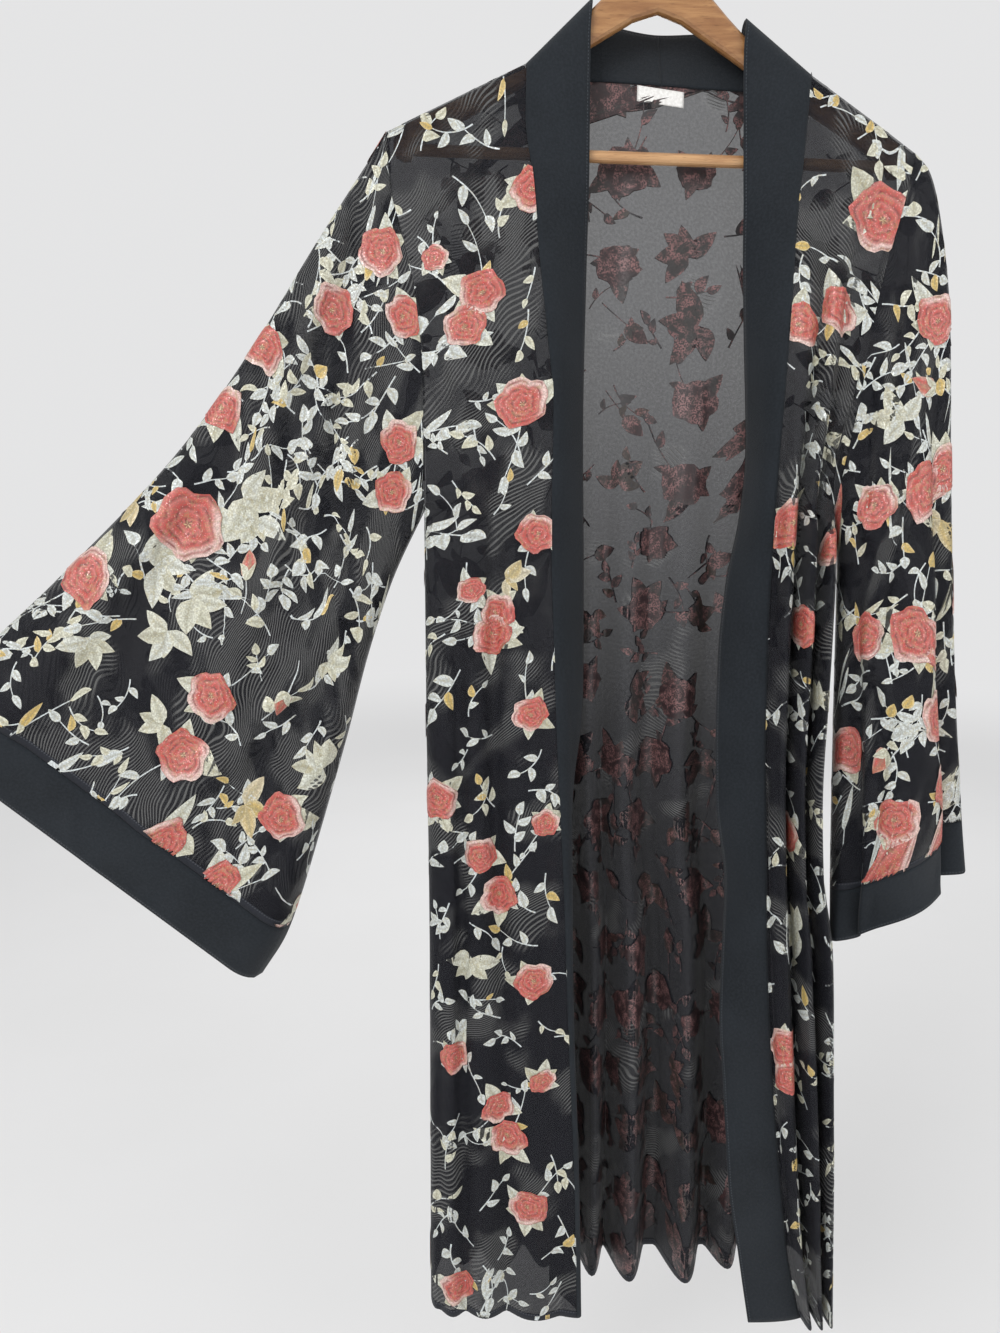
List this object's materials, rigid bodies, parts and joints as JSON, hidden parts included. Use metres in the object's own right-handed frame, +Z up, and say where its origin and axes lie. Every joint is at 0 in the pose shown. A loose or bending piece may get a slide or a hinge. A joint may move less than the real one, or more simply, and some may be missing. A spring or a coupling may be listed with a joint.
{
  "type": "kimono coat on a wooden hanger",
  "caption": "Long open-front kimono coat in sheer floral mesh with wide sleeves, dark bands and cuffs, hanging flat on a wooden trouser hanger.",
  "frame": {"origin": "point inside the top of the hook where it rests on a rail", "axes": "+Z up, +X to the right of someone facing the coat's open front, +Y from the front to the back"},
  "size_m": [0.9705, 0.1276, 1.3116],
  "materials": {
    "printed_mesh": "sheer fine mesh with a foil flower print",
    "band_cloth": "matt plain weave",
    "label": "satin ribbon, blank",
    "hanger_wood": "satin varnish",
    "bar_wood": "satin varnish",
    "hook_steel": "bright wire"
  },
  "bodies": {
    "root": {"front_left": "printed_mesh", "front_right": "printed_mesh", "back": "printed_mesh", "sleeve_left": "printed_mesh", "sleeve_right": "printed_mesh", "cuff_left": "band_cloth", "cuff_right": "band_cloth", "band_left": "band_cloth", "band_right": "band_cloth", "label": "label", "hanger_arms": "hanger_wood", "trouser_bar": "bar_wood", "hook": "hook_steel"}
  },
  "joints": []
}
